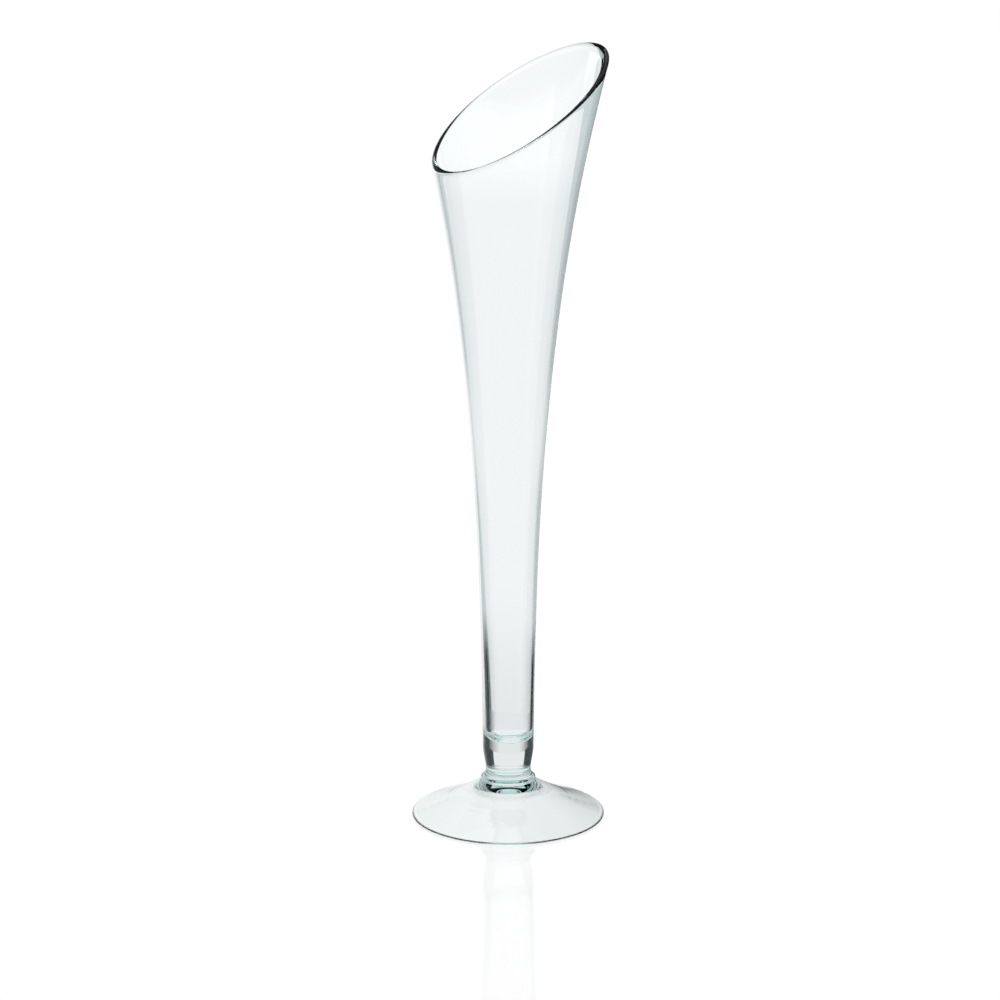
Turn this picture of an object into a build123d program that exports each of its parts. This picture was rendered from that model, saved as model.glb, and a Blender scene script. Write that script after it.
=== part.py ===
from build123d import *
import math
import os

# Tall clear glass flower vase made of three hot-fused gathers: a trumpet bowl cut on the slant,
# the merese (a small wafer) under it, and a domed foot that is hollow underneath.
# All lengths are in millimetres. +Z is up, and the origin is the centre of the foot on the table.
# The mouth rises towards +X, and the vase is the same on both sides of the XZ plane.

# Overall sizes
vase_height = 500.0  # table to the highest point of the lip, before its edge is polished
foot_diameter = 124.4
lip_slope = 33.1  # degrees between the cut of the lip and the table

# Foot
foot_height = 23.6  # table to the seat of the merese
foot_edge_thickness = 1.3
ground_ring_width = 0.6  # flat ring that stands on the table
hollow_height = 20.5  # table to the top of the hollow under the foot, on the axis
hollow_shoulder = 26.0  # the hollow's ceiling leans over towards this radius
foot_edge_rise = 17.0  # degrees, slope of the foot at its edge, above and below
foot_neck_rise = 40.0  # degrees, slope of the foot's top under the merese

# Merese
merese_overhang = 3.1  # its widest circle stands out this far beyond the waist
merese_height = 6.9
merese_edge_height = 1.5  # height of its widest circle above the foot
merese_seat_step = 0.5  # its seat on the foot is this much smaller in radius
merese_edge_round = 0.5
waist_diameter = 29.0  # the narrowest place, where the bowl is fused on

# Bowl
heel_height = 16.0  # necked end of the bowl, from the waist to the straight tube
tube_diameter = 32.8  # outside, at the top of the heel
taper_gain = 3.4  # radius added evenly from the heel to the top
swell_gain = 16.4  # radius added with the square of the height
flare_gain = 28.3  # radius added with the cube of the height
solid_base_height = 19.0  # waist to the floor of the water space
base_wall = 3.4  # wall thickness at the top of the heel
middle_wall = 2.0  # wall thickness half way up
lip_wall = 4.6  # wall thickness at the top
floor_round = 10.0  # radius between the floor and the wall of the water space
lip_round = 1.3  # radius of the polished edges of the lip

waist_radius = waist_diameter / 2
tube_radius = tube_diameter / 2
merese_radius = waist_radius + merese_overhang
seat_radius = merese_radius - merese_seat_step
foot_radius = foot_diameter / 2
waist_level = foot_height + merese_height
heel_level = waist_level + heel_height
floor_level = waist_level + solid_base_height
top_radius = tube_radius + taper_gain + swell_gain + flare_gain


def cubic_curve(start_z, end_z, constant, linear, square, cube):
    """The curve radius = constant + linear t + square t^2 + cube t^3, where t is 0 at start_z and 1 at end_z."""
    radii = [
        constant,
        constant + linear / 3,
        constant + linear * 2 / 3 + square / 3,
        constant + linear + square + cube,
    ]
    third = (end_z - start_z) / 3
    return Bezier(*[(radius, start_z + third * step) for step, radius in enumerate(radii)])


def turned(outline):
    """Solid turned about +Z from a closed outline drawn as (radius, height)."""
    return revolve(Plane.XZ * make_face(outline), Axis.Z)


def make_bowl_blank():
    """The bowl before it is hollowed and cut: its outside, filled up to a level top."""
    side = cubic_curve(heel_level, vase_height, tube_radius, taper_gain, swell_gain, flare_gain)
    third = heel_height / 3
    tube_slope = taper_gain / (vase_height - heel_level)
    heel = Bezier(
        (tube_radius, heel_level),
        (tube_radius - third * tube_slope, heel_level - third),
        (waist_radius, waist_level + third),
        (waist_radius, waist_level),
    )
    closing = Polyline(
        (waist_radius, waist_level), (0, waist_level), (0, vase_height), (top_radius, vase_height)
    )
    return turned([side, heel, closing])


def make_water_space():
    """The hollow of the bowl. Its wall is a parabola through the three named thicknesses."""
    wall_square = 2 * (base_wall + lip_wall - 2 * middle_wall)
    wall_linear = lip_wall - base_wall - wall_square
    inner_radius = tube_radius - base_wall
    side = cubic_curve(
        heel_level,
        vase_height,
        inner_radius,
        taper_gain - wall_linear,
        swell_gain - wall_square,
        flare_gain,
    )
    closing = Polyline(
        (inner_radius, heel_level), (0, heel_level), (0, vase_height), (top_radius - lip_wall, vase_height)
    )
    space = turned([side, closing])
    space = split(space, bisect_by=Plane.XY.offset(floor_level), keep=Keep.TOP)
    return fillet(space.edges().group_by(Axis.Z)[0], floor_round)


def make_bowl():
    glass = make_bowl_blank() - make_water_space()
    lip_plane = Plane((top_radius, 0, vase_height)).rotated((0, -lip_slope, 0))
    glass = split(glass, bisect_by=lip_plane, keep=Keep.BOTTOM)
    lip_face = glass.faces().filter_by(lip_plane)[0]
    return fillet(lip_face.edges(), lip_round)


def make_merese():
    widest = (merese_radius, foot_height + merese_edge_height)
    seat_edge = (seat_radius, foot_height)
    waist_edge = (waist_radius, waist_level)
    under = TangentArc(widest, seat_edge, tangent=(0, -1))
    over = TangentArc(waist_edge, widest, tangent=(0, -1))
    wafer = turned([under, over, Polyline(waist_edge, (0, waist_level), (0, foot_height), seat_edge)])
    edge = wafer.edges().filter_by(GeomType.CIRCLE).sort_by(SortBy.RADIUS)[-1]
    return fillet(edge, merese_edge_round)


def make_foot():
    edge_rise = math.radians(foot_edge_rise)
    neck_rise = math.radians(foot_neck_rise)
    edge_radius = foot_edge_thickness / 2
    ground_outer = foot_radius - edge_radius
    ground_inner = ground_outer - ground_ring_width
    top_start = (
        ground_outer + edge_radius * math.sin(edge_rise),
        edge_radius + edge_radius * math.cos(edge_rise),
    )
    edge = ThreePointArc((ground_outer, 0), (foot_radius, edge_radius), top_start)
    reach = (top_start[0] - seat_radius) / 3
    top = Bezier(
        top_start,
        (top_start[0] - reach, top_start[1] + reach * math.tan(edge_rise)),
        (seat_radius + reach / 2, foot_height - reach / 2 * math.tan(neck_rise)),
        (seat_radius, foot_height),
    )
    hollow = Bezier(
        (0, hollow_height),
        (hollow_shoulder, hollow_height),
        (ground_inner / 2, ground_inner / 2 * math.tan(edge_rise)),
        (ground_inner, 0),
    )
    ground = Line((ground_inner, 0), (ground_outer, 0))
    seat = Polyline((seat_radius, foot_height), (0, foot_height), (0, hollow_height))
    return turned([edge, top, seat, hollow, ground])


os.makedirs("parts", exist_ok=True)
for name, piece in {"bowl": make_bowl(), "merese": make_merese(), "foot": make_foot()}.items():
    export_step(piece, f"parts/{name}.step")
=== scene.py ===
import bpy
import math
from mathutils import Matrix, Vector


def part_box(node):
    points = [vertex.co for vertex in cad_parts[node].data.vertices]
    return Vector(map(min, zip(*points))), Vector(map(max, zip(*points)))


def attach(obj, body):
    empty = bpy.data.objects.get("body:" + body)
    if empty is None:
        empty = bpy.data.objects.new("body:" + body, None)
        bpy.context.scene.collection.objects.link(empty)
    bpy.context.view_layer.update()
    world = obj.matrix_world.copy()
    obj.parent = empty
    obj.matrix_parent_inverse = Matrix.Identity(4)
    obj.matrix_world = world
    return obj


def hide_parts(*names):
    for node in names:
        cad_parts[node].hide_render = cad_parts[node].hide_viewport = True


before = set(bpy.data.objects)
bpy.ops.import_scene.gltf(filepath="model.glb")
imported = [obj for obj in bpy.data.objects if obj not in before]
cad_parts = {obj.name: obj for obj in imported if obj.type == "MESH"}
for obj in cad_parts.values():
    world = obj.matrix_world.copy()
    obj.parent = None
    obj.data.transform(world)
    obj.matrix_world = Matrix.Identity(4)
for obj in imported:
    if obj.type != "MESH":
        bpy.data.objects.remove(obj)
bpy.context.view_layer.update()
mm = 0.001
bowlLow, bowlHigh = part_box("bowl")
mereseLow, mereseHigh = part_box("merese")
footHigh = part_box("foot")[1]
print("frame loaded")


# Node tree helpers


class Signal:
    # A number in a node tree. Arithmetic on it adds Math nodes.
    def __init__(self, tree, socket):
        self.tree = tree
        self.socket = socket

    def math(self, operation, *others):
        node = self.tree.nodes.new("ShaderNodeMath")
        node.operation = operation
        for plug, term in zip(node.inputs, (self, *others)):
            connect(self.tree, term, plug)
        return Signal(self.tree, node.outputs[0])

    def __add__(self, other):
        return self.math("ADD", other)

    def __sub__(self, other):
        return self.math("SUBTRACT", other)

    def __mul__(self, other):
        return self.math("MULTIPLY", other)

    def __truediv__(self, other):
        return self.math("DIVIDE", other)

    def clamped(self):
        return self.math("MAXIMUM", 0.0).math("MINIMUM", 1.0)

    def smooth(self, start, end):
        # 0 before start, 1 after end, and an even S between them.
        t = ((self - start) / (end - start)).clamped()
        return t * t * (t * -2.0 + 3.0)

    def __rsub__(self, other):
        return self * -1.0 + other

    __radd__ = __add__
    __rmul__ = __mul__


def connect(tree, term, plug):
    if isinstance(term, Signal):
        tree.links.new(term.socket, plug)
    elif hasattr(term, "is_output"):
        tree.links.new(term, plug)
    else:
        plug.default_value = term


def addNode(tree, kind, settings=(), **plugs):
    node = tree.nodes.new(kind)
    for name, value in dict(settings).items():
        setattr(node, name, value)
    for name, term in plugs.items():
        connect(tree, term, node.inputs[name.replace("_", " ")])
    return node


def mixed(a, b, share):
    return a + (b - a) * share


def bent(points, share):
    # A curve from the first to the last of four points, pulled towards the two between.
    rest = 1.0 - share
    weights = (
        rest * rest * rest,
        rest * rest * share * 3.0,
        rest * share * share * 3.0,
        share * share * share,
    )
    columns = zip(*points)
    return tuple(sum(value * weight for value, weight in zip(column, weights)) for column in columns)


# Turned glass: strips of a lathe, each one row grid bent round the axis


mergeDistance = 0.002 * mm


class TurnedGlass:
    def __init__(self, name, around, inputs):
        self.name = name
        self.around = around
        self.tree = bpy.data.node_groups.new(name + "Tree", "GeometryNodeTree")
        interface = self.tree.interface
        interface.new_socket(name="Geometry", in_out="INPUT", socket_type="NodeSocketGeometry")
        interface.new_socket(name="Geometry", in_out="OUTPUT", socket_type="NodeSocketGeometry")
        self.values = inputs
        self.identifiers = {}
        for key in inputs:
            socket = interface.new_socket(name=key, in_out="INPUT", socket_type="NodeSocketFloat")
            self.identifiers[key] = socket.identifier
        source = self.tree.nodes.new("NodeGroupInput")
        self.sizes = {key: Signal(self.tree, source.outputs[key]) for key in inputs}
        self.strips = []

    def strip(self, pointAt, rows, seam=False, leanAt=None):
        # pointAt takes the share along the strip and the angle, and gives the radius and the height.
        # leanAt takes the height, and gives how far the strip stands off the axis, in X and in Y.
        tree = self.tree
        grid = addNode(
            tree,
            "GeometryNodeMeshGrid",
            Size_X=1.0,
            Size_Y=1.0,
            Vertices_X=self.around + 1,
            Vertices_Y=rows + 1,
        )
        place = addNode(tree, "GeometryNodeInputPosition")
        split = addNode(tree, "ShaderNodeSeparateXYZ", Vector=place.outputs[0])
        angle = (Signal(tree, split.outputs["X"]) + 0.5) * math.tau
        share = Signal(tree, split.outputs["Y"]) + 0.5
        radius, height = pointAt(share, angle)
        x = radius * angle.math("COSINE")
        y = radius * angle.math("SINE")
        if leanAt:
            leanX, leanY = leanAt(height)
            x, y = x + leanX, y + leanY
        point = addNode(tree, "ShaderNodeCombineXYZ", X=x, Y=y, Z=height)
        rolled = addNode(
            tree, "GeometryNodeSetPosition", Geometry=grid.outputs["Mesh"], Position=point.outputs[0]
        )
        marked = addNode(
            tree,
            "GeometryNodeStoreNamedAttribute",
            {"data_type": "FLOAT", "domain": "FACE"},
            Geometry=rolled.outputs[0],
            Name="fusedSeam",
            Value=1.0 if seam else 0.0,
        )
        shaded = addNode(
            tree, "GeometryNodeSetShadeSmooth", Geometry=marked.outputs[0], Shade_Smooth=not seam
        )
        self.strips.append(shaded.outputs[0])

    def joined(self):
        join = self.tree.nodes.new("GeometryNodeJoinGeometry")
        for strip in self.strips:
            self.tree.links.new(strip, join.inputs[0])
        merged = addNode(
            self.tree, "GeometryNodeMergeByDistance", Geometry=join.outputs[0], Distance=mergeDistance
        )
        return merged.outputs[0]

    def swayed(self, geometry, scale, amount, seed, strengthAt):
        # Hand-made unevenness: the wall leans in and out by a smooth noise.
        tree = self.tree
        place = addNode(tree, "GeometryNodeInputPosition").outputs[0]
        flat = addNode(tree, "ShaderNodeVectorMath", {"operation": "MULTIPLY"})
        connect(tree, place, flat.inputs[0])
        flat.inputs[1].default_value = (1.0, 1.0, 0.0)
        outward = addNode(tree, "ShaderNodeVectorMath", {"operation": "NORMALIZE"})
        connect(tree, flat.outputs[0], outward.inputs[0])
        noise = addNode(
            tree,
            "ShaderNodeTexNoise",
            {"noise_dimensions": "4D"},
            Vector=place,
            W=seed,
            Scale=scale,
            Detail=1.0,
        )
        strength = strengthAt(place) * (Signal(tree, noise.outputs[0]) - 0.5) * (2.0 * amount)
        offset = addNode(tree, "ShaderNodeVectorMath", {"operation": "SCALE"}, Scale=strength)
        connect(tree, outward.outputs[0], offset.inputs[0])
        moved = addNode(tree, "GeometryNodeSetPosition", Geometry=geometry, Offset=offset.outputs[0])
        return moved.outputs[0]

    def made(self, geometry, material):
        # Runs the tree and keeps its result as a plain mesh.
        tree = self.tree
        real = addNode(tree, "GeometryNodeRealizeInstances", Geometry=geometry)
        finished = addNode(tree, "GeometryNodeSetMaterial", Geometry=real.outputs[0], Material=material)
        output = tree.nodes.new("NodeGroupOutput")
        tree.links.new(finished.outputs[0], output.inputs[0])
        piece = bpy.data.objects.new(self.name, bpy.data.meshes.new(self.name + "Blank"))
        bpy.context.scene.collection.objects.link(piece)
        modifier = piece.modifiers.new("turned", "NODES")
        modifier.node_group = tree
        for key, identifier in self.identifiers.items():
            modifier[identifier] = self.values[key]
        depsgraph = bpy.context.evaluated_depsgraph_get()
        mesh = bpy.data.meshes.new_from_object(piece.evaluated_get(depsgraph), depsgraph=depsgraph)
        mesh.name = self.name + "Mesh"
        piece.modifiers.clear()
        piece.data = mesh
        print(self.name, "has", len(mesh.polygons), "faces")
        return piece


def heightOf(tree, place):
    return Signal(tree, addNode(tree, "ShaderNodeSeparateXYZ", Vector=place).outputs["Z"])


# Clear glass


glass = {
    "ior": 1.52,
    "density": 1.8,
    "tint": (0.42, 0.75, 0.72),
    "rippleScale": 28.0,
    "rippleHeight": 0.06 * mm,
    "groundRoughness": 0.22,
    "groundHeight": 0.4 * mm,  # the scuffs fade out this far above the table
    "scuffScale": 900.0,
}


def makeGlass(name, rippleStretch):
    material = bpy.data.materials.new(name)
    material.use_nodes = True
    tree = material.node_tree
    tree.nodes.clear()
    output = tree.nodes.new("ShaderNodeOutputMaterial")
    coordinates = addNode(tree, "ShaderNodeTexCoord").outputs["Object"]
    stretched = addNode(tree, "ShaderNodeMapping", Vector=coordinates)
    stretched.inputs["Scale"].default_value = (1.0, 1.0, rippleStretch)
    ripple = addNode(
        tree, "ShaderNodeTexNoise", Vector=stretched.outputs[0], Scale=glass["rippleScale"], Detail=2.0
    )
    bump = addNode(
        tree, "ShaderNodeBump", Strength=1.0, Distance=glass["rippleHeight"], Height=ripple.outputs[0]
    )
    # The ring that stands on the table is scuffed; the rest is polished.
    height = heightOf(tree, coordinates)
    scuffs = addNode(
        tree, "ShaderNodeTexNoise", Vector=coordinates, Scale=glass["scuffScale"], Detail=4.0
    )
    worn = (1.0 - height.smooth(0.0, glass["groundHeight"])) * glass["groundRoughness"]
    roughness = worn * (Signal(tree, scuffs.outputs[0]) + 0.5)
    # A fused seam is glass against glass, so light goes straight through it.
    marked = addNode(tree, "ShaderNodeAttribute", {"attribute_name": "fusedSeam"})
    seam = Signal(tree, marked.outputs["Fac"])
    shader = addNode(
        tree,
        "ShaderNodeBsdfPrincipled",
        Base_Color=(1.0, 1.0, 1.0, 1.0),
        Transmission_Weight=1.0,
        Roughness=roughness,
        IOR=seam * (1.0 - glass["ior"]) + glass["ior"],
        Normal=bump.outputs[0],
    )
    inside = addNode(
        tree, "ShaderNodeVolumeAbsorption", Color=(*glass["tint"], 1.0), Density=glass["density"]
    )
    tree.links.new(shader.outputs[0], output.inputs["Surface"])
    tree.links.new(inside.outputs[0], output.inputs["Volume"])
    return material


# Bowl


seamGap = 0.01 * mm  # two fused pieces stand this far apart, so that neither face covers the other
bowl = {
    "waistRadius": 14.5 * mm,
    "heelHeight": 16.0 * mm,
    "tubeRadius": 16.4 * mm,
    "taperGain": 3.4 * mm,
    "swellGain": 16.4 * mm,
    "flareGain": 28.3 * mm,
    "baseWall": 3.4 * mm,
    "middleWall": 2.0 * mm,
    "lipWall": 4.6 * mm,
    "floorHeight": 19.0 * mm,
    "floorRound": 10.0 * mm,
    "lipSlope": math.tan(math.radians(33.1)),
    "lipPolish": 1.7 * mm,  # the fire takes this much off the highest point of the cut
    "lipRound": 2.6 * mm,
    "leanAmount": 0.9 * mm,  # the hollow stands this far off the axis at its floor
    "leanAngle": math.radians(-28.5),
    "leanHeight": 220.0 * mm,  # where it is back on the axis
    "swayScale": 9.0,
    "swayAmount": 0.5 * mm,
    "swaySeed": 4.0,
    "swayFrom": 20.0 * mm,  # the sway grows between these two heights above the heel
    "swayTo": 120.0 * mm,
}
outsideTree = ("sway", "leanAngle", "lipPolish")  # values that the bowl's tree doesn't take


def makeBowl(material):
    inputs = {key: value for key, value in bowl.items() if not key.startswith(outsideTree)}
    inputs["waistLevel"] = bowlLow.z + seamGap
    inputs["topLevel"] = bowlHigh.z + bowl["lipPolish"]
    blank = TurnedGlass("bowlGlass", around=224, inputs=inputs)
    size = blank.sizes
    waistLevel = size["waistLevel"]
    heelLevel = waistLevel + size["heelHeight"]
    floorLevel = waistLevel + size["floorHeight"]
    topRadius = size["tubeRadius"] + size["taperGain"] + size["swellGain"] + size["flareGain"]
    wallSquare = (size["baseWall"] + size["lipWall"] - size["middleWall"] * 2.0) * 2.0
    wallLinear = size["lipWall"] - size["baseWall"] - wallSquare

    def climb(height):
        return (height - heelLevel) / (size["topLevel"] - heelLevel)

    def outside(height):
        t = climb(height)
        gain = t * (size["taperGain"] + t * (size["swellGain"] + t * size["flareGain"]))
        return size["tubeRadius"] + gain

    def inside(height):
        t = climb(height)
        return outside(height) - size["baseWall"] - t * (wallLinear + t * wallSquare)

    def lipLevel(radiusOf, angle):
        # The slanted cut meets the wall where both agree; a few rounds find that height.
        across = size["lipSlope"] * angle.math("COSINE")
        level = size["topLevel"] - size["lipSlope"] * topRadius
        firstGuess = 0.85
        rounds = 4
        height = level + across * topRadius * firstGuess
        for _ in range(rounds):
            height = level + across * radiusOf(height)
        return height

    def lip(share, angle):
        # The polished lip rolls over from the outer wall to the inner one.
        outer = lipLevel(outside, angle)
        inner = lipLevel(inside, angle)
        points = (
            (outside(outer - size["lipRound"]), outer - size["lipRound"]),
            (outside(outer), outer),
            (inside(inner), inner),
            (inside(inner - size["lipRound"]), inner - size["lipRound"]),
        )
        return bent(points, share)

    def heel(share, angle):
        radius = mixed(size["waistRadius"], size["tubeRadius"], share.smooth(0.0, 1.0))
        return radius, waistLevel + size["heelHeight"] * share

    def outerWall(share, angle):
        top = lipLevel(outside, angle) - size["lipRound"]
        height = mixed(heelLevel, top, share)
        return outside(height), height

    def innerWall(share, angle):
        top = lipLevel(inside, angle) - size["lipRound"]
        height = mixed(top, floorLevel + size["floorRound"], share)
        return inside(height), height

    def lean(height):
        amount = (1.0 - height.smooth(floorLevel, size["leanHeight"])) * size["leanAmount"]
        return amount * math.cos(bowl["leanAngle"]), amount * math.sin(bowl["leanAngle"])

    floorWall = inside(floorLevel + size["floorRound"])

    def floorCorner(share, angle):
        turn = share * (math.pi / 2)
        reach = size["floorRound"]
        radius = floorWall - reach + reach * turn.math("COSINE")
        return radius, floorLevel + reach - reach * turn.math("SINE")

    def floor(share, angle):
        return (floorWall - size["floorRound"]) * (1.0 - share), floorLevel + share * 0.0

    def waist(share, angle):
        return size["waistRadius"] * share, waistLevel + share * 0.0

    blank.strip(waist, rows=3, seam=True)
    blank.strip(heel, rows=14)
    blank.strip(outerWall, rows=110)
    blank.strip(lip, rows=20)
    blank.strip(innerWall, rows=110, leanAt=lean)
    blank.strip(floorCorner, rows=16, leanAt=lean)
    blank.strip(floor, rows=4, leanAt=lean)
    heelTop = inputs["waistLevel"] + bowl["heelHeight"]

    def sway(place):
        return heightOf(blank.tree, place).smooth(heelTop + bowl["swayFrom"], heelTop + bowl["swayTo"])

    shape = blank.swayed(
        blank.joined(), bowl["swayScale"], bowl["swayAmount"], bowl["swaySeed"], sway
    )
    piece = blank.made(shape, material)
    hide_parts("bowl")
    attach(piece, "root")


# Merese


merese = {
    "seatStep": 0.5 * mm,
    "edgeHeight": 1.5 * mm,
    "edgeRound": 0.5 * mm,
    "waistPull": 0.6,  # share of its height over which it stays as narrow as the waist
}


def makeMerese(material):
    inputs = {
        "lowLevel": mereseLow.z + seamGap,
        "highLevel": mereseHigh.z - seamGap,
        "edgeRadius": mereseHigh.x,
        "waistRadius": bowl["waistRadius"],
        "seatStep": merese["seatStep"],
        "edgeHeight": merese["edgeHeight"],
        "edgeRound": merese["edgeRound"],
    }
    blank = TurnedGlass("mereseGlass", around=160, inputs=inputs)
    size = blank.sizes
    seatRadius = size["edgeRadius"] - size["seatStep"]
    edgeLow = size["lowLevel"] + size["edgeHeight"] - size["edgeRound"]
    edgeHigh = size["lowLevel"] + size["edgeHeight"] + size["edgeRound"]

    def under(share, angle):
        bulge = share.smooth(-1.0, 1.0) * 2.0 - 1.0
        radius = mixed(seatRadius, size["edgeRadius"], bulge)
        return radius, mixed(size["lowLevel"], edgeLow, share)

    def edge(share, angle):
        return size["edgeRadius"] + share * 0.0, mixed(edgeLow, edgeHigh, share)

    def over(share, angle):
        # The wafer flares out of the waist and turns down into its edge.
        pull = (size["highLevel"] - edgeHigh) * merese["waistPull"]
        points = (
            (size["edgeRadius"], edgeHigh),
            (size["edgeRadius"] - size["edgeRound"], edgeHigh + size["edgeRound"]),
            (size["waistRadius"], size["highLevel"] - pull),
            (size["waistRadius"], size["highLevel"]),
        )
        return bent(points, share)

    def seat(share, angle):
        return seatRadius * share, size["lowLevel"] + share * 0.0

    def waist(share, angle):
        return size["waistRadius"] * (1.0 - share), size["highLevel"] + share * 0.0

    blank.strip(seat, rows=3, seam=True)
    blank.strip(under, rows=8)
    blank.strip(edge, rows=6)
    blank.strip(over, rows=24)
    blank.strip(waist, rows=3, seam=True)
    piece = blank.made(blank.joined(), material)
    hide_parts("merese")
    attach(piece, "root")


# Foot


foot = {
    "edgeThickness": 1.3 * mm,
    "ringWidth": 0.6 * mm,
    "hollowHeight": 20.5 * mm,
    "hollowShoulder": 26.0 * mm,
    "edgeRise": math.tan(math.radians(17.0)),
    "neckRise": math.tan(math.radians(40.0)),
    "swayScale": 22.0,
    "swayAmount": 0.3 * mm,
    "swaySeed": 9.0,
    "swayFrom": 30.0 * mm,  # the sway grows between these two distances from the middle
    "swayTo": 61.0 * mm,
    "ringRipple": 0.015 * mm,
    "ringSpacing": 5.0 * mm,
}


def makeFoot(material):
    inputs = {key: value for key, value in foot.items() if not key.startswith("sway")}
    inputs["radius"] = footHigh.x
    inputs["height"] = footHigh.z - seamGap
    inputs["neckRadius"] = mereseHigh.x - merese["seatStep"]
    blank = TurnedGlass("footGlass", around=224, inputs=inputs)
    size = blank.sizes
    edge = size["edgeThickness"] * 0.5
    ringOuter = size["radius"] - edge
    ringInner = ringOuter - size["ringWidth"]
    lean = math.atan(foot["edgeRise"])

    def hollow(share, angle):
        zero = share * 0.0
        high = size["hollowHeight"]
        half = ringInner * 0.5
        points = (
            (zero, high),
            (size["hollowShoulder"], high),
            (half, half * size["edgeRise"]),
            (ringInner, zero),
        )
        return bent(points, share)

    def ring(share, angle):
        return mixed(ringInner, ringOuter, share), share * 0.0

    def rim(share, angle):
        turn = share * (math.pi - lean)
        return ringOuter + edge * turn.math("SINE"), edge - edge * turn.math("COSINE")

    def top(share, angle):
        start = (ringOuter + edge * math.sin(lean), edge + edge * math.cos(lean))
        reach = (start[0] - size["neckRadius"]) / 3.0
        neck = (size["neckRadius"], size["height"])
        points = (
            start,
            (start[0] - reach, start[1] + reach * size["edgeRise"]),
            (neck[0] + reach * 0.5, neck[1] - reach * 0.5 * size["neckRise"]),
            neck,
        )
        radius, height = bent(points, share)
        fade = share * (1.0 - share) * 4.0
        wave = (radius / size["ringSpacing"] * math.tau).math("SINE")
        return radius, height + wave * fade * size["ringRipple"]

    def seat(share, angle):
        return size["neckRadius"] * (1.0 - share), size["height"] + share * 0.0

    blank.strip(hollow, rows=40)
    blank.strip(ring, rows=4)
    blank.strip(rim, rows=20)
    blank.strip(top, rows=80)
    blank.strip(seat, rows=3, seam=True)

    def sway(place):
        tree = blank.tree
        length = addNode(tree, "ShaderNodeVectorMath", {"operation": "LENGTH"})
        connect(tree, place, length.inputs[0])
        return Signal(tree, length.outputs["Value"]).smooth(foot["swayFrom"], foot["swayTo"])

    shape = blank.swayed(
        blank.joined(), foot["swayScale"], foot["swayAmount"], foot["swaySeed"], sway
    )
    piece = blank.made(shape, material)
    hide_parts("foot")
    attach(piece, "root")


# Studio


studio = {
    "cameraAzimuth": -28.5,
    "cameraDistance": 2.54,
    "cameraHeight": 0.8995,
    "lens": 148.75,
    "filmWidth": 36.0,
    "aimHeight": 0.2105,
    "aimSide": -0.0053,
    "floorGlow": 0.85,
    "floorGloss": 0.16,
    "floorBlur": 0.06,
    "skyBright": 1.0,
    "skyDark": 0.3,
    "skyLow": math.sin(math.radians(28.0)),
    "skyHigh": math.sin(math.radians(38.0)),
    "floorHalf": 20.0,
    "floorLevel": -0.2 * mm,
    "softboxSize": (0.9, 0.6),
    "softboxPower": 25.0,
    "softboxPlace": (-0.9, -0.6, 1.5),
    "softboxAim": (0.0, 0.0, 0.35),
    "bounces": 28,  # light runs a long way along the inside of the foot and the lip
    "mirrorBounces": 16,
}
white = (0.91, 0.93, 0.93)
pale = (0.76, 0.81, 0.81)
grey = (0.56, 0.64, 0.645)
slate = (0.16, 0.22, 0.23)
# painted shade on the floor under the foot, lightened by a painted reflection of the sky
footShadeAndSheen = (1.0, 1.06, 1.05)
black = (0.008, 0.018, 0.02)
tent = {
    "radius": 0.2,
    "height": 0.62,
    "darkFrom": 0.515,
    "topDim": 0.06,
    "topBlur": 0.01,
    "blur": 2.0 / 360.0,
    "panels": (  # each panel's tone, and the angle where it starts
        (-180.0, pale),
        (-40.0, slate),
        (-12.0, black),
        (37.0, white),
        (90.0, black),
        (128.0, slate),
        (165.0, white),
    ),
    "mirrored": (  # the same for light that bounces off the glass
        (-180.0, pale),
        (-40.0, slate),
        (-12.0, black),
        (50.0, white),
        (108.0, slate),
        (165.0, white),
    ),
    "lift": (  # the least tone of every panel, and the share of the height where it starts
        (0.0, black),
        (0.085, grey),
        (0.27, pale),
        (0.38, grey),
    ),
    "liftBlur": 0.05,
    "brightFrom": 0.36,
    "brightTo": 0.4,
    "brightGain": 1.1,
    "lowDim": 0.9,
    "lowHeight": 0.1,
    "floorDim": 0.87,
    "floorBlur": 24.0 / 360.0,
    "floorLow": 0.066,  # on the floor, the panels start between these two distances from the middle
    "floorHigh": 0.072,
    "floorEnd": 0.3,  # and they fade out between these two
    "floorGone": 0.5,
    "steps": 180,
}


def makeCamera():
    azimuth = math.radians(studio["cameraAzimuth"])
    away = Vector((math.sin(azimuth), -math.cos(azimuth), 0.0))
    right = Vector((math.cos(azimuth), math.sin(azimuth), 0.0))
    camera = bpy.data.objects.new("camera", bpy.data.cameras.new("camera"))
    camera.location = away * studio["cameraDistance"] + Vector((0, 0, studio["cameraHeight"]))
    aim = Vector((0, 0, studio["aimHeight"])) + right * studio["aimSide"]
    camera.rotation_euler = (aim - camera.location).to_track_quat("-Z", "Y").to_euler()
    camera.data.lens = studio["lens"]
    camera.data.sensor_width = studio["filmWidth"]
    bpy.context.scene.collection.objects.link(camera)
    bpy.context.scene.camera = camera


def makeStage(name, vertices, faces, material):
    mesh = bpy.data.meshes.new(name)
    mesh.from_pydata(vertices, [], faces)
    mesh.materials.append(material)
    thing = bpy.data.objects.new(name, mesh)
    bpy.context.scene.collection.objects.link(thing)
    return thing


def toneRamp(tree, share, tones, blur):
    # Flat tones, each from its start to the next one's, with soft borders.
    ramp = addNode(tree, "ShaderNodeValToRGB", Fac=share)
    stops = ramp.color_ramp.elements
    stops[0].color = (*tones[0][1], 1.0)
    stops[1].color = (*tones[-1][1], 1.0)
    for (_, before), (start, after) in zip(tones, tones[1:]):
        for side, tone in ((-0.5, before), (0.5, after)):
            stops.new(start + side * blur).color = (*tone, 1.0)
    return ramp.outputs["Color"]


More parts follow.
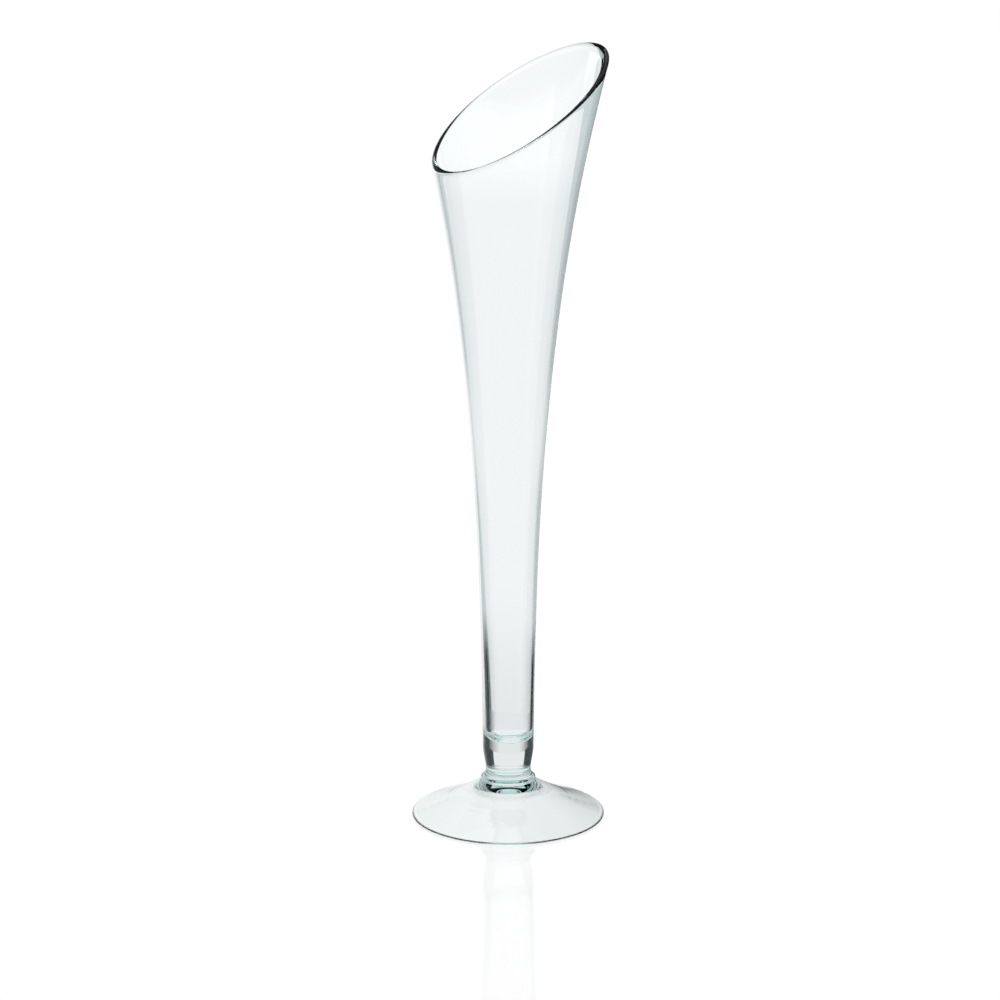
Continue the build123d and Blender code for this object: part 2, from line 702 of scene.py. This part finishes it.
def mixedTone(tree, a, b, share):
    mix = addNode(tree, "ShaderNodeMix", {"data_type": "RGBA"})
    for socket, term in ((mix.inputs[0], share), (mix.inputs[6], a), (mix.inputs[7], b)):
        connect(tree, term, socket)
    return mix.outputs[2]


def panelTones(tree, place, blur):
    # The colour of the tent's panels, by the angle of a place round the vase's axis.
    split = addNode(tree, "ShaderNodeSeparateXYZ", Vector=place)
    angle = Signal(tree, split.outputs["Y"]).math("ARCTAN2", split.outputs["X"])
    turn = angle / math.tau + 0.5
    ramps = []
    for kind in ("panels", "mirrored"):
        tones = [(start / 360.0 + 0.5, tone) for start, tone in tent[kind]]
        ramps.append(toneRamp(tree, turn, tones, blur))
    return mixedTone(tree, *ramps, 1.0 - passedRays(tree))


def passedRays(tree):
    # 1 for light that has just come out of the glass, 0 for light that bounced off it.
    return Signal(tree, addNode(tree, "ShaderNodeLightPath").outputs["Is Transmission Ray"])


def sharpRays(tree):
    # 1 for light that glass bends or mirrors, 0 for the camera's own view and for soft reflections.
    return Signal(tree, addNode(tree, "ShaderNodeLightPath").outputs["Is Singular Ray"])


def makeFloor():
    material = bpy.data.materials.new("paleFloor")
    material.use_nodes = True
    tree = material.node_tree
    tree.nodes.clear()
    place = addNode(tree, "ShaderNodeTexCoord").outputs["Object"]
    distance = addNode(tree, "ShaderNodeVectorMath", {"operation": "LENGTH"})
    connect(tree, place, distance.inputs[0])
    away = Signal(tree, distance.outputs["Value"])
    # The panels reach the floor round the foot, but only the glass shows them.
    far = away.smooth(tent["floorEnd"], tent["floorGone"])
    outer = away.smooth(tent["floorLow"], tent["floorHigh"])
    # Under the foot, light bent by the glass sees painted shade with a painted sky reflection, in place of
    # the floor's gloss.
    under = mixedTone(tree, (*footShadeAndSheen, 1.0), panelTones(tree, place, tent["floorBlur"]), outer)
    panelled = (1.0 - far) * sharpRays(tree)
    colour = mixedTone(tree, (studio["floorGlow"],) * 3 + (1.0,), under, panelled)
    dim = mixed(1.0, tent["floorDim"], panelled)
    glow = addNode(tree, "ShaderNodeEmission", Color=colour, Strength=dim)
    sheen = (1.0 - panelled) * studio["floorGloss"]
    gloss = addNode(tree, "ShaderNodeBsdfGlossy", Color=sheen, Roughness=studio["floorBlur"])
    both = tree.nodes.new("ShaderNodeAddShader")
    tree.links.new(glow.outputs[0], both.inputs[0])
    tree.links.new(gloss.outputs[0], both.inputs[1])
    output = tree.nodes.new("ShaderNodeOutputMaterial")
    tree.links.new(both.outputs[0], output.inputs["Surface"])
    half = studio["floorHalf"]
    corners = [(-half, -half, 0.0), (half, -half, 0.0), (half, half, 0.0), (-half, half, 0.0)]
    floor = makeStage("floor", corners, [(0, 1, 2, 3)], material)
    floor.location.z = studio["floorLevel"]


def makeTent():
    # Panels round the vase that show only in the glass, where they draw its edges.
    material = bpy.data.materials.new("tentPanels")
    material.use_nodes = True
    tree = material.node_tree
    tree.nodes.clear()
    place = addNode(tree, "ShaderNodeTexCoord").outputs["Object"]
    height = heightOf(tree, place)
    lifted = addNode(tree, "ShaderNodeVectorMath", {"operation": "MAXIMUM"})
    connect(tree, panelTones(tree, place, tent["blur"]), lifted.inputs[0])
    # Only the panels behind the glass are lifted; those that it mirrors stay dark all the way up.
    least = addNode(tree, "ShaderNodeVectorMath", {"operation": "SCALE"}, Scale=passedRays(tree))
    connect(tree, toneRamp(tree, height / tent["height"], tent["lift"], tent["liftBlur"]), least.inputs[0])
    connect(tree, least.outputs[0], lifted.inputs[1])
    low = mixed(tent["lowDim"], 1.0, height.smooth(0.0, tent["lowHeight"]))
    bright = mixed(1.0, tent["brightGain"], height.smooth(tent["brightFrom"], tent["brightTo"]))
    top = height.smooth(tent["darkFrom"], tent["darkFrom"] + tent["topBlur"])
    strength = low * bright * mixed(1.0, tent["topDim"], top)
    glow = addNode(tree, "ShaderNodeEmission", Color=lifted.outputs[0], Strength=strength)
    clear = addNode(tree, "ShaderNodeBsdfTransparent", Color=(1.0, 1.0, 1.0, 1.0))
    shown = addNode(tree, "ShaderNodeMixShader", Fac=sharpRays(tree))
    tree.links.new(clear.outputs[0], shown.inputs[1])
    tree.links.new(glow.outputs[0], shown.inputs[2])
    output = tree.nodes.new("ShaderNodeOutputMaterial")
    tree.links.new(shown.outputs[0], output.inputs["Surface"])
    steps = tent["steps"]
    vertices = []
    for step in range(steps):
        turn = math.tau * step / steps
        x = tent["radius"] * math.cos(turn)
        y = tent["radius"] * math.sin(turn)
        vertices += [(x, y, 0.0), (x, y, tent["height"])]
    ring = [(2 * s, 2 * ((s + 1) % steps)) for s in range(steps)]
    walls = makeStage("tent", vertices, [(a, b, b + 1, a + 1) for a, b in ring], material)
    walls.visible_camera = False
    walls.visible_shadow = False
    walls.visible_diffuse = False


def makeSky():
    world = bpy.data.worlds.new("studioSky")
    world.use_nodes = True
    tree = world.node_tree
    tree.nodes.clear()
    direction = addNode(tree, "ShaderNodeTexCoord").outputs["Generated"]
    height = heightOf(tree, direction)
    dark = height.smooth(studio["skyLow"], studio["skyHigh"])
    brightness = mixed(studio["skyBright"], studio["skyDark"], dark)
    seen = Signal(tree, addNode(tree, "ShaderNodeLightPath").outputs["Is Camera Ray"])
    strength = mixed(brightness, 1.0, seen)
    glow = addNode(tree, "ShaderNodeBackground", Color=(1.0, 1.0, 1.0, 1.0), Strength=strength)
    output = tree.nodes.new("ShaderNodeOutputWorld")
    tree.links.new(glow.outputs[0], output.inputs["Surface"])
    bpy.context.scene.world = world


def makeSoftbox():
    light = bpy.data.lights.new("softbox", "AREA")
    light.shape = "RECTANGLE"
    light.size, light.size_y = studio["softboxSize"]
    light.energy = studio["softboxPower"]
    lamp = bpy.data.objects.new("softbox", light)
    lamp.location = studio["softboxPlace"]
    aim = Vector(studio["softboxAim"]) - lamp.location
    lamp.rotation_euler = aim.to_track_quat("-Z", "Y").to_euler()
    bpy.context.scene.collection.objects.link(lamp)


makeCamera()
print("camera placed")
makeBowl(makeGlass("bowlGlass", rippleStretch=0.35))
makeMerese(makeGlass("mereseGlass", rippleStretch=1.0))
makeFoot(makeGlass("footGlass", rippleStretch=1.0))
print("glass made")
makeFloor()
makeTent()
makeSky()
makeSoftbox()
bpy.context.scene.view_settings.view_transform = "Standard"
bpy.context.scene.cycles.max_bounces = studio["bounces"]
bpy.context.scene.cycles.transmission_bounces = studio["bounces"]
bpy.context.scene.cycles.glossy_bounces = studio["mirrorBounces"]
print("studio lit")
